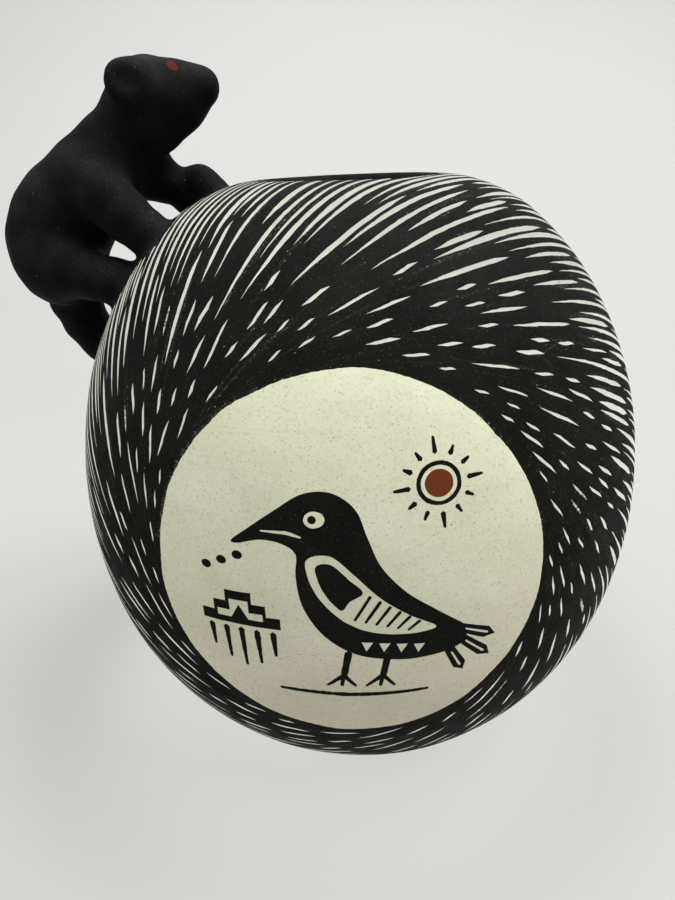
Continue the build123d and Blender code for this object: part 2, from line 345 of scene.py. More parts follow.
# Dashes in what is left.
count = 42000
s0 = S_OUT + 2 + (S_CREST - S_OUT - 3) * rng.random(count)
phi0 = 2 * math.pi * rng.random(count)
keep = rng.random(count) < radius_at(s0) / MAX_RADIUS
s0, phi0 = s0[keep], phi0[keep]
turn = deg(3.0) * rng.standard_normal(len(s0))
sa, pa = trace(s0, phi0, 16, turn, 1)
sb, pb = trace(s0, phi0, 16, turn, -1)
a0, b0, _, _ = around(point(s0, phi0))
a0, b0 = np.degrees(a0), np.degrees(b0)
ss, ps = np.concatenate([sb[:0:-1], sa]), np.concatenate([pb[:0:-1], pa])
for k in range(len(s0)):
    low = smooth(100, 140, abs(b0[k]))
    left = smooth(-45, -75, b0[k]) * (1 - low)
    gap = np.interp(a0[k], ANGLES, (1.6, 1.65, 1.8, 1.75, 1.6, 1.5, 1.55, 1.7)) * (1 + 0.12 * low - 0.06 * left)
    long = np.interp(a0[k], ANGLES, (4.8, 5.5, 7.0, 8.2, 9.0, 9.4, 9.4, 8.5)) * (1 + 0.4 * low + 0.2 * left)
    wide = np.interp(a0[k], ANGLES, (0.50, 0.60, 0.74, 0.80, 0.82, 0.84, 0.84, 0.84)) * (1 + 0.05 * low - 0.03 * left)
    half = int(long * rng.uniform(0.5, 1.55) / 2 / STEP)
    rows, cols = cells(ss[:, k], ps[:, k])
    free = ~taken[rows, cols]
    if not free[16]:
        continue
    got = free_stretch(free, 16, half, half)
    if (got[1] - got[0]) * STEP < max(2.5, 0.42 * long):
        continue
    s, p = ss[got[0] : got[1] + 1, k], ps[got[0] : got[1] + 1, k]
    strokes.append((s, p, min(wide * rng.uniform(0.72, 1.2), (got[1] - got[0]) * STEP / 5), "dash"))
    stamp(taken, s, p, gap * rng.uniform(0.75, 1.3))

# Behind, the strokes run on from the front's ends, looser and in shorter pieces.
rng = np.random.default_rng(5)
front, strokes = strokes, []
taken[:] = empty
close[:] = empty
shut = row_r[:, None] * np.sin(col_phi)[None] < 4.0
shut |= (row_s[:, None] > S_CREST - 1.3) & (row_r[:, None] * np.sin(col_phi)[None] > 2.0)  # a plain black edge behind the mouth
taken |= shut
close |= shut
for s, p, wide, kind in front:
    y = radius_at(s) * np.sin(p)
    stop = rng.uniform(6, 15)
    if y.max() > stop:
        near = np.flatnonzero(y < stop)
        runs = np.split(near, np.flatnonzero(np.diff(near) > 1) + 1)
        run = max(runs, key=len)
        if len(run) * STEP < 2.5:
            continue
        if run[0] > 0 or len(run) * STEP < 9.5:
            kind = "line" if len(run) * STEP >= 9.5 else "dash"
        s, p, y, wide = s[run], p[run], y[run], min(wide, len(run) * STEP / 5)
    strokes.append((s, p, wide, kind))
    if y.max() > -4:
        stamp(taken, s, p, 1.9)
        stamp(close, s, p, 1.15)

count = 9000
s0 = S_OUT + 3 + (S_CREST - S_OUT - 3.3) * rng.random(count)
phi0 = math.pi * rng.random(count)
keep = (rng.random(count) < radius_at(s0) / MAX_RADIUS) & (radius_at(s0) * np.sin(phi0) > 5)
s0, phi0 = s0[keep], phi0[keep]
order = np.argsort(phi0)
s0, phi0 = s0[order], phi0[order]
turn = deg(1.2) * rng.standard_normal(len(s0))
sa, pa = trace(s0, phi0, 90, turn, 1, True)
sb, pb = trace(s0, phi0, 90, turn, -1, True)
ss, ps = np.concatenate([sb[:0:-1], sa]), np.concatenate([pb[:0:-1], pa])
for k in range(len(s0)):
    lay_line(ss[:, k], ps[:, k], 90, 50, 1.22, 30, (8, 26), (1.8, 4.5))
count = 16000
s0 = S_OUT + 2 + (S_CREST - S_OUT - 3) * rng.random(count)
phi0 = math.pi * rng.random(count)
keep = (rng.random(count) < radius_at(s0) / MAX_RADIUS) & (radius_at(s0) * np.sin(phi0) > 4)
s0, phi0 = s0[keep], phi0[keep]
turn = deg(3.0) * rng.standard_normal(len(s0))
sa, pa = trace(s0, phi0, 16, turn, 1, True)
sb, pb = trace(s0, phi0, 16, turn, -1, True)
ss, ps = np.concatenate([sb[:0:-1], sa]), np.concatenate([pb[:0:-1], pa])
for k in range(len(s0)):
    half = int(8.5 * rng.uniform(0.5, 1.55) / 2 / STEP)
    rows, cols = cells(ss[:, k], ps[:, k])
    free = ~taken[rows, cols]
    if not free[16]:
        continue
    got = free_stretch(free, 16, half, half)
    if (got[1] - got[0]) * STEP < 3.0:
        continue
    s, p = ss[got[0] : got[1] + 1, k], ps[got[0] : got[1] + 1, k]
    strokes.append((s, p, min(0.82 * rng.uniform(0.72, 1.2), (got[1] - got[0]) * STEP / 5), "dash"))
    stamp(taken, s, p, 1.8 * rng.uniform(0.75, 1.3))
print("strokes", len(strokes), {k: sum(1 for s in strokes if s[3] == k) for k in ("rim", "line", "dash")})

# ---------------------------------------------------------------- outlines drawn on the jar, as rings in the flat map
BLACK, SLIP, ETCHED, WORN, RED, INSIDE, INK = range(7)
flat_points, flat_faces, face_paint, sunk, dusty = [], [], [], {}, {}


def to_flat(t, phi):
    rho = np.exp(t)
    return np.stack([rho * np.cos(phi), rho * np.sin(phi)], 1)


def add_ring(xy, paint):
    """A closed outline in the flat map, turned counter-clockwise."""
    x, y = xy.T
    if np.sum(x * np.roll(y, -1) - y * np.roll(x, -1)) < 0:
        xy = xy[::-1]
    first = len(flat_points)
    flat_points.extend(map(tuple, xy))
    flat_faces.append(list(range(first, first + len(xy))))
    face_paint.append(paint)


def envelope(u, kind, side):
    """Half width along a stroke, 0 to 1."""
    if kind == "rim":
        return np.minimum(1, 0.6 + 0.4 * u / 0.25) * np.minimum(1, ((1 - u) / 0.34) ** 0.9)
    if kind == "line":
        return np.minimum(1, (u / 0.18) ** 0.85) * np.minimum(1, ((1 - u) / 0.32) ** 0.9)
    peak = side
    return np.where(u < peak, u / peak, (1 - u) / (1 - peak)) ** 0.92


def across(s, p, pieces, ahead=0.0):
    """Evenly spaced places along a stroke in the flat map, with the unit direction across it."""
    u = np.linspace(0, 1, pieces + 1)
    k = u * (len(s) - 1)
    ss = np.interp(k, np.arange(len(s)), s)
    pp = np.interp(k, np.arange(len(p)), p)
    if ahead:
        ss[0] += ahead
    t = t_of_s(ss)
    scale = 1 / radius_at(ss)
    dt, dp = np.gradient(t), np.gradient(pp)
    size = np.hypot(dt, dp) + 1e-12
    return u, t, pp, -dp / size, dt / size, scale


# Trails of rubbed paint that some long strokes leave beside them.
for s, p, width, kind in strokes:
    length = (len(s) - 1) * STEP
    if kind == "dash" or length < 8 or rng.random() > 0.6:
        continue
    first, last = int(len(s) * rng.uniform(0, 0.3)), int(len(s) * rng.uniform(0.7, 1.0))
    s, p = s[first:last], p[first:last]
    u, t, pp, nt, np_, scale = across(s, p, int(np.clip(length / 1.3, 5, 40)))
    side = rng.choice([-1, 1])
    half = rng.uniform(0.4, 0.85) * np.sin(math.pi * np.clip(u, 0.02, 0.98)) ** 0.6
    off = side * (width * 0.3 + half * 0.75)
    mid_t, mid_p = t + nt * off * scale, pp + np_ * off * scale
    ring = np.concatenate(
        [
            to_flat(mid_t + nt * half * scale, mid_p + np_ * half * scale),
            to_flat(mid_t - nt * half * scale, mid_p - np_ * half * scale)[::-1],
        ]
    )
    add_ring(ring, BLACK)
    strong = rng.uniform(0.45, 1.0)
    for xy in to_flat(mid_t[1:-1], mid_p[1:-1]):
        dusty[len(flat_points)] = strong * rng.uniform(0.7, 1.0)
        flat_points.append(tuple(xy))

for s, p, width, kind in strokes:
    length = (len(s) - 1) * STEP
    pieces = int(np.clip(length / (0.7 if kind == "dash" else 1.0), 5, 60))
    u, t, pp, nt, np_, scale = across(s, p, pieces, rng.uniform(0.3, 1.5) if kind == "rim" else 0.0)
    skew = rng.uniform(0.10, 0.27) * (-1 if rng.random() < 0.85 else 1)
    rough = 0.02 if kind == "dash" else 0.026
    left = width / 2 * envelope(u, kind, 0.47 + skew) + rough * rng.standard_normal(len(u))
    right = width / 2 * envelope(u, kind, 0.47 - skew) + rough * rng.standard_normal(len(u))
    if kind != "dash":
        sway = 0.045 * np.interp(u, np.linspace(0, 1, 6), rng.standard_normal(6))
        left, right = left + sway, right - sway
    left, right = np.maximum(left, 0.03), np.maximum(right, 0.03)
    lx = to_flat(t + nt * left * scale, pp + np_ * left * scale)
    rx = to_flat(t - nt * right * scale, pp - np_ * right * scale)
    ends = to_flat(t[[0, -1]], pp[[0, -1]])
    if kind == "rim":
        ring = np.concatenate([lx[:-1], ends[1:], rx[:-1][::-1]])
    else:
        ring = np.concatenate([ends[:1], lx[1:-1], ends[1:], rx[1:-1][::-1]])
    worn = kind == "dash" and rng.random() < 0.04
    add_ring(ring, WORN if worn else ETCHED)
    spine = to_flat(t[1:-1], pp[1:-1])
    depth = np.minimum(0.10, 0.2 * np.minimum(left, right)[1:-1])
    for xy, d in zip(spine, depth):
        sunk[len(flat_points)] = d
        flat_points.append(tuple(xy))
    stamp(kept_clear, s, p, width / 2 + 0.45)


def on_jar(p, q):
    """Place on the outside of a point p mm to the right of and q mm above the medallion's middle."""
    far = np.hypot(p, q) / MAX_RADIUS
    way = np.arctan2(p, q)
    d = (
        np.cos(far)[:, None] * FRONT
        + np.sin(far)[:, None] * (np.cos(way)[:, None] * UPWARD + np.sin(way)[:, None] * RIGHT)
    )
    low, high = np.full(len(d), 40.0), np.full(len(d), 70.0)
    for _ in range(40):
        mid = (low + high) / 2
        x = CENTRE + d * mid[:, None]
        out = np.hypot(x[:, 0], x[:, 1]) > wall_radius(x[:, 2])
        low, high = np.where(out, low, mid), np.where(out, mid, high)
    x = CENTRE + d * ((low + high) / 2)[:, None]
    return to_flat(t_of_s(s_of_z(x[:, 2])), np.arctan2(x[:, 1], x[:, 0]))


def finer(points, step=0.55):
    """The same closed outline with points no further apart than a step."""
    out = []
    for a, b in zip(points, np.roll(points, -1, axis=0)):
        n = max(1, int(math.ceil(np.hypot(*(b - a)) / step)))
        out += [a + (b - a) * i / n for i in range(n)]
    return np.array(out)


def rounded(points, step=0.55):
    """A smooth closed curve through points."""
    points = np.asarray(points, float)
    out = []
    n = len(points)
    for i in range(n):
        p0, p1, p2, p3 = (points[(i + j) % n] for j in (-1, 0, 1, 2))
        m = max(2, int(np.hypot(*(p2 - p1)) / step))
        for u in np.arange(m) / m:
            out.append(
                0.5 * (2 * p1 + (p2 - p0) * u + (2 * p0 - 5 * p1 + 4 * p2 - p3) * u**2 + (3 * p1 - p0 - 3 * p2 + p3) * u**3)
            )
    return np.array(out)


def draw(points, paint, shaky=0.05, curve=False):
    """An outline in the medallion, with the small unevenness of a brush."""
    points = rounded(points) if curve else finer(np.asarray(points, float))
    n = len(points)
    wave = sum(
        rng.standard_normal() * np.sin(2 * math.pi * k * np.arange(n) / n + rng.uniform(0, 6.3)) / k**0.7
        for k in range(3, min(n // 3, 24) + 1)
    )
    along = np.roll(points, -1, axis=0) - np.roll(points, 1, axis=0)
    along /= np.linalg.norm(along, axis=1, keepdims=True) + 1e-9
    points = points + shaky * 0.5 * (wave * np.ones(n))[:, None] * np.stack([along[:, 1], -along[:, 0]], 1)
    add_ring(on_jar(points[:, 0], points[:, 1]), paint)


def brush(points, widths, paint, shaky=0.04):
    """A brush line through points with a width at each."""
    points = np.asarray(points, float)
    k = np.concatenate([[0], np.cumsum(np.hypot(*np.diff(points, axis=0).T))])
    n = max(4, int(k[-1] / 0.5))
    u = np.linspace(0, k[-1], n)
    x, y = np.interp(u, k, points[:, 0]), np.interp(u, k, points[:, 1])
    w = np.interp(u, k, widths) / 2 * (1 + 0.06 * rng.standard_normal(n))
    d = np.stack([np.gradient(x), np.gradient(y)], 1)
    d /= np.linalg.norm(d, axis=1, keepdims=True) + 1e-9
    c = np.stack([x, y], 1)
    normal = np.stack([-d[:, 1], d[:, 0]], 1)
    cap0 = c[:1] - d[:1] * w[0] * 0.8
    cap1 = c[-1:] + d[-1:] * w[-1] * 0.8
    ring = np.concatenate([cap0, c + normal * w[:, None], cap1, (c - normal * w[:, None])[::-1]])
    draw(ring, paint, shaky * 0.3)


def dot(x, y, rx, ry, paint, lean=0.0):
    a = np.linspace(0, 2 * math.pi, 26, endpoint=False)
    u, v = rx * np.cos(a), ry * np.sin(a)
    draw(np.stack([x + u * math.cos(lean) - v * math.sin(lean), y + u * math.sin(lean) + v * math.cos(lean)], 1), paint, 0.05)


# The pale medallion.
ring_a = np.linspace(0, 2 * math.pi, 420, endpoint=False)
radius = MEDALLION * MAX_RADIUS
radius = radius + 0.17 * sum(
    rng.standard_normal() * np.sin(k * ring_a + rng.uniform(0, 6.3)) / k**0.9 for k in range(2, 40)
)
radius = radius + 0.028 * rng.standard_normal(len(ring_a))
edge = on_jar(radius * np.sin(ring_a), radius * np.cos(ring_a))
first = len(flat_points)
add_ring(edge, SLIP)
thin = sum(
    strong * np.exp(-((((ring_a - deg(at) + math.pi) % (2 * math.pi) - math.pi) / deg(wide)) ** 2))
    for at, wide, strong in ((312, 26, 0.85), (284, 8, 0.5), (40, 9, 0.5), (75, 7, 0.35), (238, 10, 0.3), (150, 9, 0.25))
)
turned = np.hypot(*(np.array(flat_points[first]) - edge[0])) > 1e-9
for k, value in enumerate(thin[::-1] if turned else thin):
    dusty[first + k] = 2.4 * value * rng.uniform(0.5, 1.0)

# A plain bird in the middle with a hatched wing, a stepped cloud with rain beside it.
SHIFT = np.array([-2.6, 0.6])


def moved(points):
    return np.array(points, float) + SHIFT


draw(
    moved(
        [
            (-14.2, 6.2), (-13.6, 7.0), (-10.4, 9.2), (-6.8, 11.7), (-3.2, 13.8), (0.8, 14.0), (4.2, 11.6), (5.8, 7.6),
            (7.6, 3.2), (11.0, -0.8), (15.0, -4.0), (19.0, -7.0), (20.6, -8.6), (20.4, -11.0), (18.6, -12.4),
            (14.6, -13.2), (10.0, -13.2), (4.0, -12.0), (-0.8, -8.6), (-3.8, -3.6), (-4.6, 1.6), (-4.4, 5.0),
            (-6.4, 6.5), (-9.6, 6.9), (-13.0, 6.1),
        ]
    ),
    INK,
    curve=True,
)
dot(*moved([(-1.6, 10.2)])[0], 1.5, 1.2, SLIP, 0.1)
dot(*moved([(-1.9, 10.2)])[0], 0.62, 0.6, INK)
brush(moved([(-9.4, 8.3), (-5.6, 8.2), (-3.6, 7.6)]), [0.2, 0.55, 0.3], SLIP, 0.02)
draw(moved([(-3.0, 4.0), (0.4, 4.9), (3.6, 2.2), (7.4, -1.8), (11.6, -5.0), (15.8, -7.6), (11.4, -8.4), (5.6, -7.6), (1.2, -5.0), (-2.0, -0.8)]), SLIP, curve=True)
draw(moved([(-1.7, 3.1), (0.5, 3.6), (2.9, 1.4), (5.0, -0.9), (3.0, -2.4), (1.7, -3.9), (-0.8, -0.6)]), INK, curve=True)
for k in range(6):
    x = 6.0 + 1.45 * k
    brush(moved([(x, -1.6 - 0.92 * k), (x - 2.3 + 0.12 * k, -5.6 - 0.42 * k)]), [0.55, 0.42], INK, 0.02)
for k in range(4):
    x, y = 4.6 + 2.6 * k, -9.6 - 0.28 * k
    draw(moved([(x, y), (x + 1.7, y - 0.1), (x + 0.7, y - 1.7)]), SLIP, 0.03)
for x, y, angle, long in ((19.2, -8.4, -24, 7.0), (19.6, -10.4, -44, 7.4), (17.8, -12.0, -64, 6.2)):
    way = np.array([math.cos(deg(angle)), math.sin(deg(angle))])
    side = np.array([-way[1], way[0]])
    q = moved([(x, y)])[0]
    draw(
        [q - side * 0.75 - way, q + way * long * 0.75 - side * 1.1, q + way * long, q + way * long * 0.75 + side * 1.1, q + side * 0.75 - way],
        INK,
        0.03,
    )
    brush([q + way * 1.4, q + way * (long * 0.78)], [0.3, 0.42], SLIP, 0.01)
for foot in (2.6, 8.6):
    brush(moved([(foot, -11.6), (foot - 0.9, -16.6)]), [1.25, 0.95], INK)
    for toe in (-2.6, -0.4, 1.8):
        brush(moved([(foot - 0.9, -16.3), (foot - 0.9 + toe, -18.7)]), [0.9, 0.5], INK)
brush(moved([(-8.6, -20.4), (2.0, -20.9), (14.8, -20.5)]), [0.7, 1.0, 0.7], INK)
sun = np.array([13.2, 15.4])
for big, paint in ((3.25, INK), (2.6, SLIP), (2.05, RED)):
    dot(*sun, big, big * 0.96, paint)
for k in range(12):
    way = np.array([math.cos(deg(30 * k + 8)), math.sin(deg(30 * k + 8))])
    brush([sun + way * 4.3, sun + way * (5.4 if k % 3 else 6.4)], [0.75, 0.4], INK, 0.02)
steps = [(-7.8, 0), (-7.8, 2.4), (-5.2, 2.4), (-5.2, 4.8), (-2.6, 4.8), (-2.6, 7.2), (2.6, 7.2), (2.6, 4.8), (5.2, 4.8), (5.2, 2.4), (7.8, 2.4), (7.8, 0)]
cloud = np.array([-16.6, -7.4])
draw(np.array(steps) * 0.84 + cloud, INK)
draw(np.array([(-4.5, 1.4), (-4.5, 2.9), (-1.9, 2.9), (-1.9, 5.3), (1.9, 5.3), (1.9, 2.9), (4.5, 2.9), (4.5, 1.4)]) * 0.84 + cloud, SLIP, 0.03)
draw(np.array([(-1.7, 1.4), (0, 4.4), (1.7, 1.4)]) * 0.84 + cloud, INK, 0.03)
for k, long in zip(range(5), (4.2, 6.2, 7.4, 6.4, 4.4)):
    x = -5.2 + 2.6 * k
    brush([cloud + (x, -0.9), cloud + (x + 0.1, -0.9 - long)], [1.05, 0.5], INK)
for k in range(3):
    dot(-21.4 + 2.7 * k, 2.6 + 1.1 * k, 0.85, 0.7, INK)

# ---------------------------------------------------------------- the jar's mesh
T_TO = t_of_s(S_TO)
ring_phi = np.arange(RING) / RING * 2 * math.pi
inner_ring = range(len(flat_points), len(flat_points) + RING)
flat_points.extend(map(tuple, to_flat(np.zeros(RING), ring_phi)))
outer_ring = range(len(flat_points), len(flat_points) + RING)
flat_points.extend(map(tuple, to_flat(np.full(RING, T_TO), ring_phi)))
edges = [(r[i], r[(i + 1) % RING]) for r in (inner_ring, outer_ring) for i in range(RING)]
for number, s in enumerate(np.arange(S_FROM + 1.1, S_TO - 0.5, 0.95)):
    r = np.interp(s, S, PR)
    n = int(2 * math.pi * r / 1.05)
    phi = (np.arange(n) + 0.5 * (number % 2)) / n * 2 * math.pi
    if S_OUT < s < S_CREST:
        rows, cols = cells(np.full(n, s), phi)
        phi = phi[~kept_clear[rows, cols]]
    flat_points.extend(map(tuple, to_flat(np.full(len(phi), t_of_s(s)), phi)))

verts2, _, tris, from_verts, _, from_faces = delaunay_2d_cdt(
    [Vector(p) for p in flat_points], edges, flat_faces, 0, 1e-7, True
)
verts2 = np.array([tuple(v) for v in verts2])
t = np.log(np.maximum(np.hypot(verts2[:, 0], verts2[:, 1]), 1e-6))
phi = np.arctan2(verts2[:, 1], verts2[:, 0])
s = s_of_t(np.clip(t, 0, T_TO))
sink = np.zeros(len(verts2))
dust = np.zeros(len(verts2))
where = {}
for i, came in enumerate(from_verts):
    for k in came:
        where[k] = i
        if k in sunk:
            sink[i] = sunk[k]
        if k in dusty:
            dust[i] = dusty[k]


def lumps(x, y, z):
    """Slow unevenness of a hand-scraped wall, in mm."""
    return 0.055 * (
        np.sin(0.21 * x + 0.13 * z + 1.0) * np.sin(0.17 * y - 0.19 * z)
        + 0.7 * np.sin(0.31 * z + 0.5 + 0.8 * np.sin(0.09 * x)) * np.sin(0.12 * (x + y) + 2.0)
    )


def place(s, phi, sink):
    r, z = np.interp(s, S, PR), np.interp(s, S, PZ)
    nr, nz = np.interp(s, S, NR), np.interp(s, S, NZ)
    x, y = r * np.cos(phi), r * np.sin(phi)
    fade = smooth(S_OUT + 1, S_OUT + 8, s)
    scrape = smooth(S_IN + 2, S_IN + 9, s) * smooth(S[-1] - 6, S[-1] - 24, s)
    move = fade * lumps(x, y, z) * (1 - scrape) - sink
    move = move + scrape * 0.13 * (np.sin(2.1 * z + 1.3 * np.sin(2 * phi)) + 0.6 * np.sin(0.9 * z - 3 * phi + 1))
    tip = 0.0100 * y * smooth(98, 110, z)  # the rim isn't quite level
    return np.stack([x + move * nr * np.cos(phi), y + move * nr * np.sin(phi), z + move * nz + tip], 1)


is_inner = {where[k] for k in inner_ring}
coords = [place(s, phi, sink)]
all_s, all_phi = [s], [phi]
faces, paint = [], []
for tri, came in zip(tris, from_faces):
    if all(v in is_inner for v in tri):
        continue
    faces.append(tuple(reversed(tri)))
    paint.append(face_paint[max(came)] if came else BLACK)
total = len(verts2)


def add_rings(first, s_list, s_end, forward):
    """Plain rings of faces from a seam to the middle of the underside or of the floor."""
    global total
    last = first
    for s in s_list:
        coords.append(place(np.full(RING, s), ring_phi, 0.0))
        all_s.append(np.full(RING, s))
        all_phi.append(ring_phi)
        new = list(range(total, total + RING))
        total += RING
        for j in range(RING):
            k = (j + 1) % RING
            quad = (last[j], last[k], new[k], new[j])
            faces.append(quad if forward else quad[::-1])
            paint.append(INSIDE)
        last = new
    coords.append(np.array([[0.0, 0.0, np.interp(s_end, S, PZ)]]))
    all_s.append(np.array([s_end]))
    all_phi.append(np.zeros(1))
    for j in range(RING):
        tri = (last[j], last[(j + 1) % RING], total)
        faces.append(tri if forward else tri[::-1])
        paint.append(INSIDE)
    total += 1


add_rings([where[k] for k in outer_ring], np.arange(S_TO + 1.5, S[-1] - 3, 1.5), S[-1], True)
under = len(faces)
add_rings([where[k] for k in inner_ring], [7.5, 5.0, 2.5], 0.0, False)
paint[under:] = [BLACK] * (len(faces) - under)
coords, all_s, all_phi = np.concatenate(coords), np.concatenate(all_s), np.concatenate(all_phi)

mesh = bpy.data.meshes.new("jar_vessel")
mesh.from_pydata((coords * MM).tolist(), [], faces)
mesh.polygons.foreach_set("material_index", paint)
mesh.polygons.foreach_set("use_smooth", [True] * len(faces))

# Coordinates along and across the strokes, for dust and worn trails.
a, b, _, _ = around(coords)
label = b - np.interp(a, steps_a, spiral)
sweep = mesh.attributes.new("sweep", "FLOAT_VECTOR", "POINT")
sweep.data.foreach_set("vector", np.stack([np.cos(label), np.sin(label), a], 1).astype(np.float32).ravel())

rubbed = mesh.attributes.new("rubbed", "FLOAT", "POINT")
rubbed.data.foreach_set("value", np.concatenate([dust, np.zeros(len(coords) - len(dust))]).astype(np.float32))

# One unrolled map, with its seam at the back.
uv = mesh.uv_layers.new(name="OFBake")
loop_vert = np.empty(len(mesh.loops), int)
mesh.loops.foreach_get("vertex_index", loop_vert)
u = ((all_phi - math.pi / 2) % (2 * math.pi)) / (2 * math.pi)
v = all_s / S[-1]
start = np.empty(len(mesh.polygons), int)
many = np.empty(len(mesh.polygons), int)
mesh.polygons.foreach_get("loop_start", start)
mesh.polygons.foreach_get("loop_total", many)
lu, lv = u[loop_vert], v[loop_vert]
owner = np.repeat(np.arange(len(start)), many)
most = np.zeros(len(start))
np.maximum.at(most, owner, lu)
least = np.ones(len(start))
np.minimum.at(least, owner, lu)
lu = np.where(((most - least) > 0.5)[owner] & (lu < 0.5), lu + 1, lu)
uv.data.foreach_set("uv", np.stack([0.005 + 0.975 * lu, 0.005 + 0.99 * lv], 1).astype(np.float32).ravel())
mesh.validate()
mesh.update()
jar = bpy.data.objects.new("jar_vessel", mesh)
bpy.context.scene.collection.objects.link(jar)
print("jar", len(mesh.vertices), "vertices", len(mesh.polygons), "faces")

# ---------------------------------------------------------------- the bear: a soft union of limbs, in mm
BODY = [
    ((-39.8, 0.0, 123.0), 6.2),
    ((-43.8, 0.0, 118.8), 7.0),
    ((-48.7, 0.0, 113.95), 8.15),
    ((-54.0, 0.0, 109.0), 9.05),
    ((-56.0, 0.0, 106.1), 9.15),
    ((-57.2, 0.0, 103.0), 8.9),
    ((-56.7, 0.0, 99.8), 8.0),
]
LIMBS = [
    [((-47.5, -5.0, 115.0), 5.2), ((-43.6, -8.0, 111.8), 5.0), ((-40.0, -9.2, 108.4), 4.4), ((-36.6, -9.4, 105.4), 4.1), ((-33.0, -9.2, 102.3), 4.0)],
    [((-56.2, -4.2, 100.0), 7.0), ((-52.0, -7.4, 99.4), 5.2), ((-48.0, -9.0, 98.2), 4.3), ((-44.2, -9.2, 97.2), 4.2), ((-40.0, -9.0, 96.0), 4.1)],
    [((-43.6, 4.6, 115.8), 5.3), ((-39.8, 6.8, 115.0), 4.6), ((-36.4, 7.8, 113.5), 3.8), ((-33.4, 8.2, 112.4), 3.5), ((-29.8, 8.5, 112.6), 3.9), ((-27.8, 8.6, 110.6), 4.1)],
    [((-57.4, 4.0, 97.8), 6.2), ((-58.4, 6.9, 91.5), 5.2), ((-57.6, 8.2, 86.4), 4.6), ((-55.0, 8.5, 81.8), 4.3), ((-51.0, 8.4, 78.2), 4.2), ((-47.0, 8.2, 75.4), 4.0)],
]
RIM_PAW = ((-32.4, 8.2, 110.2), 3.1), ((-28.4, 8.6, 108.6), 4.0)
EAR_AT, EAR_FACING = np.array([-37.6, 6.7, 130.0]), np.array([0.45, 0.88, 0.10])


def round_cone(p, a, ra, b, rb):
    """Distance to a capsule whose two ends differ in radius."""
    a, b = np.asarray(a, float), np.asarray(b, float)
    ba = b - a
    l2 = ba @ ba
    rr = ra - rb
    a2 = l2 - rr * rr
    pa = p - a
    y = pa @ ba
    z = y - l2
    x2 = ((pa * l2 - y[:, None] * ba) ** 2).sum(1)
    y2, z2 = y * y * l2, z * z * l2
    k = np.sign(rr) * rr * rr * x2
    out = (np.sqrt(x2 * a2 / l2) + y * rr) / l2 - ra
    far = np.sign(z) * a2 * z2 > k
    out = np.where(far, np.sqrt(x2 + z2) / l2 - rb, out)
    near = np.sign(y) * a2 * y2 < k
    return np.where(near & ~far, np.sqrt(x2 + y2) / l2 - ra, out)


def blob(p, centre, radii):
    """Nearly the distance to an ellipsoid."""
    q = (p - np.asarray(centre)) / np.asarray(radii)
    k0 = np.linalg.norm(q, axis=1)
    k1 = np.linalg.norm(q / np.asarray(radii), axis=1)
    return k0 * (k0 - 1) / np.maximum(k1, 1e-9)


def blend(a, b, k):
    """Union with a soft fillet about k mm wide."""
    h = np.maximum(k - np.abs(a - b), 0) / k
    return np.minimum(a, b) - h * h * k * 0.25


def chain(p, stations, k=0.8):
    d = None
    for (a, ra), (b, rb) in zip(stations, stations[1:]):
        piece = round_cone(p, a, ra, b, rb)
        d = piece if d is None else blend(d, piece, k)
    return d


near_r, near_z = np.arange(0, 80, 0.25), np.arange(60, 145, 0.25)
wall_k = np.flatnonzero((S >= S_OUT) & (S <= S_CREST) & (PZ > 55))[::3]
to_wall = np.empty((len(near_r), len(near_z)))
for i, r in enumerate(near_r):
    dr, dz = r - PR[wall_k][:, None], near_z[None] - PZ[wall_k][:, None]
    k = np.argmin(dr**2 + dz**2, axis=0)
    j = np.arange(len(near_z))
    side = dr[k, 0] * NR[wall_k][k] + dz[k, j] * NZ[wall_k][k]
    to_wall[i] = np.sign(side) * np.hypot(dr[k, 0], dz[k, j])


def to_jar(p):
    """Distance to the jar's outside, negative within it."""
    x = np.clip(np.hypot(p[:, 0], p[:, 1]) / 0.25, 0, len(near_r) - 1.001)
    y = np.clip((p[:, 2] - 60) / 0.25, 0, len(near_z) - 1.001)
    i, j = x.astype(int), y.astype(int)
    x, y = x - i, y - j
    return (
        to_wall[i, j] * (1 - x) * (1 - y) + to_wall[i + 1, j] * x * (1 - y)
        + to_wall[i, j + 1] * (1 - x) * y + to_wall[i + 1, j + 1] * x * y
    )


